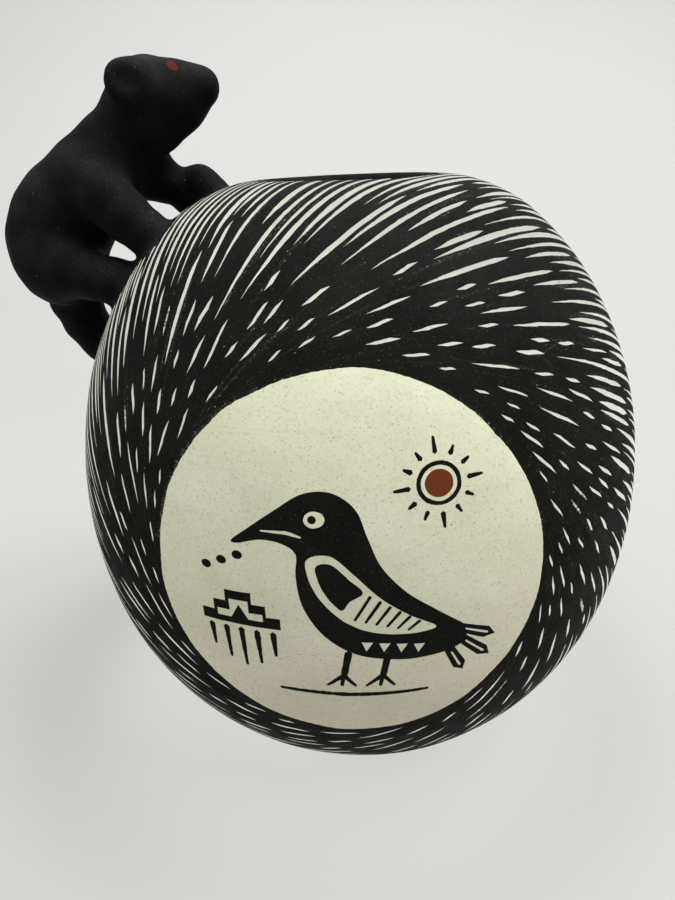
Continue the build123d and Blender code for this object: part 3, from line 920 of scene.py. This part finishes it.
def bear(p):
    d = chain(p, BODY, 1.5)
    for number, limb in enumerate(LIMBS):
        leg = chain(p, limb)
        if number == 2:
            leg = blend(leg, chain(p, RIM_PAW), 1.2)
        d = blend(d, leg, 2.4)
    head = blob(p, (-36.0, 0, 127.5), (6.8, 7.0, 7.2))
    head = blend(head, round_cone(p, (-33.4, 0, 127.9), 6.1, (-26.1, 0, 129.3), 3.3), 1.5)
    head = blend(head, round_cone(p, (-26.6, 0, 129.2), 3.3, (-35.2, 0, 125.0), 6.3), 1.0)
    head = blend(head, np.linalg.norm(p - (-30.6, 0, 128.6), axis=1) - 5.15, 1.5)  # bridge of the nose
    head = blend(head, np.linalg.norm(p - (-30.8, 0, 127.0), axis=1) - 5.25, 1.5)  # jaw
    for side in (1, -1):
        at = EAR_AT * (1, side, 1)
        facing = EAR_FACING * (1, side, 1)
        facing = facing / np.linalg.norm(facing)
        q = p - at
        along = q @ facing
        wide = np.linalg.norm(q - along[:, None] * facing, axis=1)
        lobe = blob(np.stack([along, wide, 0 * wide], 1), (0, 0, 0), (1.7, 3.6, 3.6))
        cup = np.linalg.norm(q - facing * 4.1, axis=1) - 3.1
        lobe = -blend(-lobe, cup, 1.2)
        head = blend(head, lobe, 2.8)
        head = blend(head, np.linalg.norm(p - (-35.9, side * 4.4, 131.4), axis=1) - 2.2, 2.0)
    d = blend(d, head, 3.6)
    d = blend(d, round_cone(p, (-41.0, 2.6, 119.6), 4.8, (-37.7, 5.8, 117.0), 3.1), 2.4)  # chest between the throat and the far foreleg
    d = d + 0.09 * (
        np.sin(0.55 * p[:, 0] + 0.3 * p[:, 2]) * np.sin(0.6 * p[:, 1] + 0.4 * p[:, 2] + 1)
        + 0.6 * np.sin(0.9 * p[:, 2] - 0.5 * p[:, 0] + 2) * np.sin(0.8 * p[:, 1] + 0.7 * p[:, 0])
    )
    wall = to_jar(p)
    joined = blend(d, wall + 0.06, 1.7)
    return np.maximum(np.maximum(joined, d - 1.9), -(wall + 2.4))


def surface(f, low, high, step):
    """Quads over the zero surface of a distance function, one vertex a cell, settled on to the surface."""
    axes = [np.arange(a, b + step, step) for a, b in zip(low, high)]
    shape = tuple(len(a) for a in axes)
    grid = np.stack(np.meshgrid(*axes, indexing="ij"), -1).reshape(-1, 3)
    d = np.concatenate([f(part) for part in np.array_split(grid, 24)]).reshape(shape)
    neg = d < 0
    corner = [(i, j, k) for i in (0, 1) for j in (0, 1) for k in (0, 1)]
    cut = lambda a, c: a[c[0] : shape[0] - 1 + c[0], c[1] : shape[1] - 1 + c[1], c[2] : shape[2] - 1 + c[2]]
    inside_count = sum(cut(neg, c).astype(int) for c in corner)
    mixed = (inside_count > 0) & (inside_count < 8)
    cell = np.argwhere(mixed)
    number = -np.ones(mixed.shape, int)
    number[mixed] = np.arange(len(cell))
    total = np.zeros((len(cell), 3))
    hits = np.zeros(len(cell))
    for a in corner:
        for axis in range(3):
            if a[axis]:
                continue
            b = tuple(c + (1 if m == axis else 0) for m, c in enumerate(a))
            da, db = d[tuple((cell + a).T)], d[tuple((cell + b).T)]
            crosses = (da < 0) != (db < 0)
            u = np.where(crosses, da / np.where(crosses, da - db, 1), 0)
            spot = np.array(a, float) + np.eye(3)[axis] * u[:, None]
            total += np.where(crosses[:, None], spot, 0)
            hits += crosses
    verts = (cell + total / hits[:, None]) * step + np.array(low)
    quads = []
    for axis in range(3):
        o1, o2 = [m for m in range(3) if m != axis]
        first = [slice(None)] * 3
        second = [slice(None)] * 3
        first[axis], second[axis] = slice(0, -1), slice(1, None)
        change = neg[tuple(first)] != neg[tuple(second)]
        at = np.argwhere(change)
        ok = (at[:, o1] > 0) & (at[:, o2] > 0) & (at[:, o1] < shape[o1] - 1) & (at[:, o2] < shape[o2] - 1)
        at = at[ok]
        goes_in = neg[tuple((at + np.eye(3, dtype=int)[axis]).T)]
        ring = []
        for d1, d2 in ((-1, -1), (0, -1), (0, 0), (-1, 0)):
            c = at.copy()
            c[:, o1] += d1
            c[:, o2] += d2
            ring.append(number[tuple(c.T)])
        ring = np.stack(ring, 1)
        if axis == 1:
            goes_in = ~goes_in
        quads.append(np.where(goes_in[:, None], ring[:, ::-1], ring))
    quads = np.concatenate(quads)
    for _ in range(3):
        e = 0.05
        here = f(verts)
        slope = np.stack([(f(verts + e * np.eye(3)[m]) - f(verts - e * np.eye(3)[m])) / (2 * e) for m in range(3)], 1)
        size = np.maximum((slope**2).sum(1), 0.2)
        verts = verts - np.clip(here / size, -0.3 * step, 0.3 * step)[:, None] * slope
    return verts, quads


verts, quads = surface(bear, (-70, -17, 70), (-19, 17, 138), 0.45)
mesh = bpy.data.meshes.new("bear_figure")
mesh.from_pydata((verts * MM).tolist(), [], quads.tolist())
mesh.polygons.foreach_set("use_smooth", [True] * len(mesh.polygons))
mesh.validate()
mesh.update()
figure = bpy.data.objects.new("bear_figure", mesh)
bpy.context.scene.collection.objects.link(figure)
print("bear", len(mesh.vertices), "vertices", len(mesh.polygons), "faces")


# ---------------------------------------------------------------- materials
def new_material(name):
    material = bpy.data.materials.new(name)
    material.use_nodes = True
    tree = material.node_tree
    tree.nodes.clear()
    out = tree.nodes.new("ShaderNodeOutputMaterial")
    shader = tree.nodes.new("ShaderNodeBsdfPrincipled")
    tree.links.new(shader.outputs[0], out.inputs[0])
    return material, tree, shader


def node(tree, kind, values=None, **settings):
    n = tree.nodes.new(kind)
    for key, value in settings.items():
        setattr(n, key, value)
    for key, value in (values or {}).items():
        if isinstance(value, bpy.types.NodeSocket):
            tree.links.new(value, n.inputs[key])
        else:
            n.inputs[key].default_value = value
    return n


def math_node(tree, operation, a, b=0.0, c=0.0):
    return node(tree, "ShaderNodeMath", {0: a, 1: b, 2: c}, operation=operation).outputs[0]


def ramp(tree, value, low, high, to_low=0.0, to_high=1.0):
    return node(
        tree,
        "ShaderNodeMapRange",
        {"Value": value, "From Min": low, "From Max": high, "To Min": to_low, "To Max": to_high},
        interpolation_type="SMOOTHSTEP",
    ).outputs[0]


def mix(tree, factor, a, b, blend_type="MIX"):
    return node(tree, "ShaderNodeMix", {0: factor, 6: a, 7: b}, data_type="RGBA", blend_type=blend_type).outputs[2]


def noise(tree, vector, scale, detail=2.0, roughness=0.5):
    return node(tree, "ShaderNodeTexNoise", {"Vector": vector, "Scale": scale, "Detail": detail, "Roughness": roughness}).outputs[0]


def specks(tree, vector, scale, share, small, large):
    """Round grains: cells per metre, the share of cells that hold one, and their radii in cells."""
    cell = node(tree, "ShaderNodeTexVoronoi", {"Vector": vector, "Scale": scale})
    parts = node(tree, "ShaderNodeSeparateColor", {0: cell.outputs["Color"]})
    radius = math_node(tree, "MULTIPLY_ADD", parts.outputs[1], large - small, small)
    edge = math_node(tree, "SUBTRACT", radius, cell.outputs["Distance"])
    disc = ramp(tree, edge, -0.03, 0.03)
    chosen = math_node(tree, "LESS_THAN", parts.outputs[0], share)
    return math_node(tree, "MULTIPLY", disc, chosen), parts.outputs[2]


def coordinates(tree):
    return node(tree, "ShaderNodeTexCoord").outputs["Object"]


def bump(tree, height, strength, distance, normal=None):
    values = {"Height": height, "Strength": strength, "Distance": distance}
    if normal is not None:
        values["Normal"] = normal
    return node(tree, "ShaderNodeBump", values).outputs[0]


def stretched(tree, across, along):
    """The strokes' own coordinates, drawn out along them."""
    at = node(tree, "ShaderNodeAttribute", attribute_name="sweep").outputs["Vector"]
    return node(tree, "ShaderNodeVectorMath", {0: at, 1: (across, across, along)}, operation="MULTIPLY").outputs[0]


def paint_colour(tree, where, field=True):
    """Matt black paint with grains of dust and, on the etched field, rubbed trails beside the strokes and a painted
    shade that darkens its lower left.
    """
    cloud = noise(tree, where, 90, 4, 0.6)
    colour = mix(tree, ramp(tree, cloud, 0.3, 0.7), (0.0055, 0.0057, 0.0051, 1), (0.0090, 0.0093, 0.0083, 1))
    if field:
        parts = node(tree, "ShaderNodeSeparateXYZ", {0: where})
        # painted shade: the black field is darkened towards the bottom and the left
        painted_shade_lower_left = ramp(tree, math_node(tree, "MULTIPLY_ADD", parts.outputs[2], 0.6, parts.outputs[0]), 0.012, -0.004)
        trail = ramp(tree, noise(tree, stretched(tree, 26.0, 4.0), 1.0, 3, 0.55), 0.55, 0.74, 0.0, 0.36)
        beside = node(tree, "ShaderNodeAttribute", attribute_name="rubbed").outputs["Fac"]
        amount = math_node(tree, "MAXIMUM", trail, math_node(tree, "MULTIPLY", beside, 0.85))
        veil = math_node(tree, "MULTIPLY", amount, ramp(tree, noise(tree, where, 2100, 3, 0.7), 0.40, 0.68))
        colour = mix(tree, math_node(tree, "MULTIPLY", veil, 0.75), colour, (0.115, 0.112, 0.078, 1))
        flecks, tone = specks(tree, where, 2700, amount, 0.10, 0.34)
        colour = mix(tree, math_node(tree, "MULTIPLY", flecks, math_node(tree, "MULTIPLY_ADD", tone, 0.6, 0.25)), colour, (0.32, 0.315, 0.235, 1))
    dust, shade = specks(tree, where, 2700, 0.78, 0.10, 0.28)
    colour = mix(tree, math_node(tree, "MULTIPLY", dust, math_node(tree, "MULTIPLY_ADD", shade, 0.34, 0.06)), colour, (0.10, 0.104, 0.088, 1))
    grains, shade = specks(tree, where, 1500, 0.7, 0.03, 0.10)
    colour = mix(tree, math_node(tree, "MULTIPLY", grains, math_node(tree, "MULTIPLY_ADD", math_node(tree, "POWER", shade, 4.0), 0.8, 0.05)), colour, (0.32, 0.32, 0.27, 1))
    if field:
        # the painted shade on the lower left of the field
        colour = mix(tree, painted_shade_lower_left, colour, (0.52, 0.52, 0.49, 1), "MULTIPLY")
        for across, seed in (((62.0, 20.0, 71.0), 0.0), ((-38.0, 15.0, 84.0), 0.37)):
            line = node(tree, "ShaderNodeVectorMath", {0: where, 1: across}, operation="DOT_PRODUCT").outputs["Value"]
            line = math_node(tree, "MULTIPLY_ADD", noise(tree, where, 16, 0, 0.5), 0.8, math_node(tree, "ADD", line, seed))
            off = math_node(tree, "ABSOLUTE", math_node(tree, "SUBTRACT", math_node(tree, "FRACT", line), 0.5))
            scratch = math_node(tree, "MULTIPLY", ramp(tree, off, 0.0075, 0.0025), ramp(tree, noise(tree, where, 95, 2, 0.5), 0.62, 0.70, 0.0, 0.24))
            colour = mix(tree, scratch, colour, (0.10, 0.10, 0.085, 1))
    return colour


def black_paint(name, field):
    material, tree, shader = new_material(name)
    where = coordinates(tree)
    tree.links.new(paint_colour(tree, where, field), shader.inputs["Base Color"])
    tree.links.new(ramp(tree, noise(tree, where, 260, 3, 0.6), 0.3, 0.7, 0.62, 0.78), shader.inputs["Roughness"])
    shader.inputs["Specular IOR Level"].default_value = 0.035
    fine = noise(tree, where, 2400, 3, 0.65)
    tree.links.new(bump(tree, fine, 0.22, 0.00008), shader.inputs["Normal"])
    return material


def slip_colour(tree, where):
    """Pale slip with a faint mottle, brushed bands and fine mineral grains."""
    mottle = noise(tree, where, 75, 5, 0.62)
    colour = mix(tree, ramp(tree, mottle, 0.32, 0.7), (0.665, 0.672, 0.485, 1), (0.735, 0.747, 0.56, 1))
    height = node(tree, "ShaderNodeSeparateXYZ", {0: where}).outputs[2]
    colour = mix(tree, ramp(tree, height, 0.080, 0.018), colour, (1.0, 0.895, 0.955, 1), "MULTIPLY")
    bands = node(tree, "ShaderNodeVectorMath", {0: where, 1: (22, 22, 900)}, operation="MULTIPLY").outputs[0]
    colour = mix(tree, ramp(tree, noise(tree, bands, 1.0, 3, 0.6), 0.5, 0.75, 0.0, 0.25), colour, (0.56, 0.535, 0.40, 1))
    grain = ramp(tree, noise(tree, where, 1900, 3, 0.65), 0.50, 0.72, 0.0, 0.33)
    colour = mix(tree, grain, colour, (0.42, 0.38, 0.25, 1))
    fine, tone = specks(tree, where, 2500, 0.7, 0.10, 0.30)
    colour = mix(tree, math_node(tree, "MULTIPLY", fine, math_node(tree, "MULTIPLY_ADD", tone, 0.58, 0.14)), colour, (0.245, 0.19, 0.11, 1))
    rust, tone = specks(tree, where, 620, 0.13, 0.04, 0.11)
    colour = mix(tree, math_node(tree, "MULTIPLY", rust, math_node(tree, "MULTIPLY_ADD", tone, 0.45, 0.25)), colour, (0.20, 0.115, 0.06, 1))
    dark, tone = specks(tree, where, 330, 0.11, 0.03, 0.07)
    return mix(tree, math_node(tree, "MULTIPLY", dark, 0.85), colour, (0.05, 0.04, 0.03, 1))


def pale_slip():
    material, tree, shader = new_material("pale_speckled_slip")
    where = coordinates(tree)
    tree.links.new(slip_colour(tree, where), shader.inputs["Base Color"])
    tree.links.new(ramp(tree, noise(tree, where, 300, 3, 0.6), 0.3, 0.7, 0.55, 0.68), shader.inputs["Roughness"])
    shader.inputs["Specular IOR Level"].default_value = 0.25
    fine = noise(tree, where, 1500, 4, 0.65)
    tree.links.new(bump(tree, fine, 0.25, 0.00008), shader.inputs["Normal"])
    return material


def etched(name, worn):
    """Slip laid bare by the point: chalky, with paint left along the sweep, and painted light and shade that make it
    lighter low and on the left and darker high, on the right and at the mouth.
    """
    material, tree, shader = new_material(name)
    where = coordinates(tree)
    parts = node(tree, "ShaderNodeSeparateXYZ", {0: where})
    # painted light and shade: the bared slip is painted lighter towards the bottom and the left and darker towards the
    # top and the right
    high = ramp(tree, math_node(tree, "MULTIPLY_ADD", parts.outputs[0], 0.26, parts.outputs[2]), 0.030, 0.108)
    dull = mix(tree, high, (0.90, 0.883, 0.80, 1), (0.455, 0.478, 0.395, 1))
    clean = mix(tree, high, (0.955, 0.945, 0.885, 1), (0.56, 0.588, 0.51, 1))
    colour = mix(tree, noise(tree, where, 500, 3, 0.6), dull, clean)
    # painted shade: the strokes are darkened further near the mouth, more so on the right
    mouth = ramp(tree, math_node(tree, "MULTIPLY_ADD", parts.outputs[0], 0.30, parts.outputs[2]), 0.095, 0.113)
    colour = mix(tree, mouth, colour, (0.68, 0.677, 0.685, 1), "MULTIPLY")
    left = noise(tree, where, 3000 if worn else 1500, 3, 0.7)
    colour = mix(tree, ramp(tree, left, 0.50 if worn else 0.66, 0.56 if worn else 0.74, 0.0, 0.93 if worn else 0.5), colour, (0.03, 0.029, 0.026, 1))
    tree.links.new(colour, shader.inputs["Base Color"])
    tree.links.new(ramp(tree, left, 0.3, 0.7, 0.7, 0.85), shader.inputs["Roughness"])
    shader.inputs["Specular IOR Level"].default_value = 0.2
    fine = noise(tree, where, 3000, 3, 0.65)
    tree.links.new(bump(tree, fine, 0.3, 0.0001), shader.inputs["Normal"])
    return material


def terracotta():
    material, tree, shader = new_material("terracotta_paint")
    where = coordinates(tree)
    colour = mix(tree, noise(tree, where, 420, 4, 0.6), (0.110, 0.021, 0.0035, 1), (0.160, 0.034, 0.0065, 1))
    tree.links.new(colour, shader.inputs["Base Color"])
    tree.links.new(ramp(tree, noise(tree, where, 700, 3, 0.6), 0.3, 0.7, 0.6, 0.75), shader.inputs["Roughness"])
    shader.inputs["Specular IOR Level"].default_value = 0.2
    tree.links.new(bump(tree, noise(tree, where, 1800, 3, 0.6), 0.3, 0.00008), shader.inputs["Normal"])
    return material


def inside_clay():
    """Bare grey-buff clay inside, painted black for a finger's width below the lip."""
    material, tree, shader = new_material("inside_clay")
    where = coordinates(tree)
    clay = mix(tree, noise(tree, where, 130, 5, 0.6), (0.30, 0.26, 0.20, 1), (0.42, 0.37, 0.30, 1))
    grit, tone = specks(tree, where, 900, 0.3, 0.04, 0.14)
    clay = mix(tree, math_node(tree, "MULTIPLY", grit, 0.6), clay, (0.12, 0.09, 0.065, 1))
    height = node(tree, "ShaderNodeSeparateXYZ", {0: where}).outputs[2]
    edge = math_node(tree, "MULTIPLY_ADD", noise(tree, where, 110, 4, 0.6), 0.008, height)
    colour = mix(tree, ramp(tree, edge, 0.1055, 0.1061), clay, paint_colour(tree, where, False))
    tree.links.new(colour, shader.inputs["Base Color"])
    tree.links.new(ramp(tree, noise(tree, where, 300, 3, 0.6), 0.3, 0.7, 0.75, 0.9), shader.inputs["Roughness"])
    shader.inputs["Specular IOR Level"].default_value = 0.15
    tree.links.new(bump(tree, noise(tree, where, 900, 5, 0.65), 0.4, 0.0003), shader.inputs["Normal"])
    return material


def bear_slip():
    """Dull black slip over the modelled clay, with dust in its grain, a grey haze of dust and painted sheen on the
    upward-facing surfaces, and a dot of terracotta for each eye.
    """
    material, tree, shader = new_material("bear_black_slip")
    where = coordinates(tree)
    cloud = noise(tree, where, 150, 4, 0.6)
    colour = mix(tree, ramp(tree, cloud, 0.3, 0.72), (0.0032, 0.0033, 0.0033, 1), (0.0062, 0.0064, 0.0064, 1))
    # dust and painted sheen: a grey-blue haze lightens the upward-facing surfaces, partly settled dust and partly
    # painted sheen of light from above
    dust_and_sheen_haze = math_node(tree, "MULTIPLY", ramp(tree, noise(tree, where, 3400, 2, 0.6), 0.22, 0.86), ramp(tree, noise(tree, where, 105, 2, 0.5), 0.15, 0.85))
    up = ramp(tree, node(tree, "ShaderNodeSeparateXYZ", {0: node(tree, "ShaderNodeNewGeometry").outputs["Normal"]}).outputs[2], -0.35, 0.85)
    upward_dust_and_sheen = math_node(tree, "MULTIPLY_ADD", up, 0.90, 0.06)
    colour = mix(tree, math_node(tree, "MULTIPLY", dust_and_sheen_haze, upward_dust_and_sheen), colour, (0.0305, 0.0323, 0.0330, 1))
    dust, shade = specks(tree, where, 2600, 0.75, 0.09, 0.25)
    colour = mix(tree, math_node(tree, "MULTIPLY", dust, math_node(tree, "MULTIPLY", math_node(tree, "MULTIPLY_ADD", shade, 0.36, 0.06), math_node(tree, "MAXIMUM", upward_dust_and_sheen, 0.3))), colour, (0.105, 0.11, 0.11, 1))
    grains, shade = specks(tree, where, 1000, 0.8, 0.03, 0.10)
    colour = mix(tree, math_node(tree, "MULTIPLY", grains, math_node(tree, "MULTIPLY_ADD", math_node(tree, "POWER", shade, 3.5), 0.6, 0.04)), colour, (0.30, 0.30, 0.28, 1))
    wobble = noise(tree, where, 900, 2, 0.5)
    eyes = None
    for side in (1, -1):
        away = node(tree, "ShaderNodeVectorMath", {0: where, 1: (-0.0299, side * 0.0046, 0.1324)}, operation="SUBTRACT").outputs[0]
        long = node(tree, "ShaderNodeVectorMath", {0: away, 1: (0.76 / 0.00119, 0.0, -0.65 / 0.00119)}, operation="DOT_PRODUCT").outputs["Value"]
        wide = node(tree, "ShaderNodeVectorMath", {0: away, 1: (0.65 / 0.00060, 0.0, 0.76 / 0.00060)}, operation="DOT_PRODUCT").outputs["Value"]
        deep = node(tree, "ShaderNodeVectorMath", {0: away, 1: (0.0, 1 / 0.0035, 0.0)}, operation="DOT_PRODUCT").outputs["Value"]
        parts = node(tree, "ShaderNodeCombineXYZ", {0: long, 1: wide, 2: deep}).outputs[0]
        far = node(tree, "ShaderNodeVectorMath", {0: parts}, operation="LENGTH").outputs["Value"]
        far = math_node(tree, "MULTIPLY_ADD", wobble, 0.3, far)
        spot = ramp(tree, far, 1.20, 1.10)
        eyes = spot if eyes is None else math_node(tree, "MAXIMUM", eyes, spot)
    red = mix(tree, noise(tree, where, 700, 3, 0.6), (0.060, 0.0135, 0.0045, 1), (0.090, 0.021, 0.0085, 1))
    tree.links.new(mix(tree, eyes, colour, red), shader.inputs["Base Color"])
    tree.links.new(ramp(tree, noise(tree, where, 420, 3, 0.6), 0.3, 0.7, 0.62, 0.78), shader.inputs["Roughness"])
    shader.inputs["Specular IOR Level"].default_value = 0.042
    fine = noise(tree, where, 1700, 4, 0.7)
    broad = noise(tree, where, 330, 3, 0.55)
    first = bump(tree, broad, 0.22, 0.0005)
    tree.links.new(bump(tree, fine, 0.26, 0.00010, first), shader.inputs["Normal"])
    return material


for material in (
    black_paint("matt_black_paint", True), pale_slip(), etched("etched_slip", False), etched("etched_slip_worn", True),
    terracotta(), inside_clay(), black_paint("black_ink", False),
):
    jar.data.materials.append(material)
figure.data.materials.append(bear_slip())

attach(jar, "root")
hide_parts("puki_base", "wall_coil_1", "wall_coil_2", "wall_coil_3", "wall_coil_4", "wall_coil_5", "wall_coil_6", "rim_coil")
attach(figure, "root")
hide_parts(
    "bear_torso", "bear_head", "bear_ear_left", "bear_ear_right",
    "bear_foreleg_left", "bear_foreleg_right", "bear_hindleg_left", "bear_hindleg_right",
)

# ---------------------------------------------------------------- floor, light and camera
rows = [(-1.4, 0.0), (0.3, 0.0)]
rows += [(0.3 + 1.3 * math.sin(a), 1.3 - 1.3 * math.cos(a)) for a in np.linspace(0, math.pi / 2, 31)[1:]]
rows += [(1.6, 2.6)]
sweep_mesh = bpy.data.meshes.new("floor")
sweep_mesh.from_pydata(
    [(x, y, z - 0.0003) for y, z in rows for x in (-2.2, 2.2)],
    [],
    [(2 * i, 2 * i + 1, 2 * i + 3, 2 * i + 2) for i in range(len(rows) - 1)],
)
sweep_mesh.polygons.foreach_set("use_smooth", [True] * len(sweep_mesh.polygons))
floor = bpy.data.objects.new("floor", sweep_mesh)
bpy.context.scene.collection.objects.link(floor)
material, tree, shader = new_material("floor_card")
where = coordinates(tree)
tree.links.new(mix(tree, noise(tree, where, 3, 3, 0.5), (0.246, 0.248, 0.240, 1), (0.260, 0.262, 0.254, 1)), shader.inputs["Base Color"])
shader.inputs["Emission Color"].default_value = (1.0, 1.0, 0.965, 1)  # a light table's glow, even far off, with a painted pool of light round the jar's foot
flat = node(tree, "ShaderNodeVectorMath", {0: where, 1: (1, 1, 0)}, operation="MULTIPLY").outputs[0]
# painted light: the glow rises within about 7 cm of the jar's foot, where the jar would shade the floor
away = node(tree, "ShaderNodeVectorMath", {0: flat, 1: (-0.007, 0, 0)}, operation="DISTANCE").outputs["Value"]
tree.links.new(ramp(tree, away, 0.072, 0.026, 0.295, 0.60), shader.inputs["Emission Strength"])
shader.inputs["Roughness"].default_value = 0.9
shader.inputs["Specular IOR Level"].default_value = 0.1
sweep_mesh.materials.append(material)


def area_light(name, at, towards, width, height, watts, colour=(1, 1, 1)):
    light = bpy.data.lights.new(name, "AREA")
    light.shape, light.size, light.size_y = "RECTANGLE", width, height
    light.energy, light.color = watts, colour
    o = bpy.data.objects.new(name, light)
    o.location = at
    o.rotation_euler = (Vector(towards) - Vector(at)).to_track_quat("-Z", "Y").to_euler()
    bpy.context.scene.collection.objects.link(o)
    return o


area_light("softbox_top", (0.05, 0.10, 1.15), (0, 0, 0.05), 1.3, 1.3, 19.0)
area_light("softbox_right", (0.75, -0.15, 0.95), (0, 0, 0.07), 0.9, 0.8, 13.3)
area_light("softbox_left", (-0.95, -0.25, 0.45), (0, 0, 0.07), 0.8, 0.7, 3.3)
area_light("softbox_front", (0.0, -0.75, 0.95), (0, 0, 0.06), 1.2, 0.7, 1.4)
area_light("softbox_wall", (0.0, 0.55, 0.9), (0, 1.6, 0.5), 2.6, 0.4, 12.5)
world = bpy.data.worlds.new("studio")
bpy.context.scene.world = world
world.use_nodes = True
world.node_tree.nodes["Background"].inputs[0].default_value = (1.0, 0.985, 0.96, 1)
world.node_tree.nodes["Background"].inputs[1].default_value = 0.02

YAW, PITCH, ROLL = -0.0313011, 0.4025297, 0.0411445
forward = Vector((math.sin(YAW) * math.cos(PITCH), math.cos(YAW) * math.cos(PITCH), -math.sin(PITCH)))
level = Vector((math.cos(YAW), -math.sin(YAW), 0))
down = forward.cross(level)
right = level * math.cos(ROLL) + down * math.sin(ROLL)
lower = down * math.cos(ROLL) - level * math.sin(ROLL)
camera = bpy.data.cameras.new("camera")
camera.lens, camera.sensor_width, camera.clip_start = 27.04, 36.0, 0.005
eye = bpy.data.objects.new("camera", camera)
eye.matrix_world = Matrix.Translation((0, -0.13646, 0.11602)) @ Matrix((right, -lower, -forward)).transposed().to_4x4()
bpy.context.scene.collection.objects.link(eye)
bpy.context.scene.camera = eye
bpy.context.scene.view_settings.view_transform = "Standard"
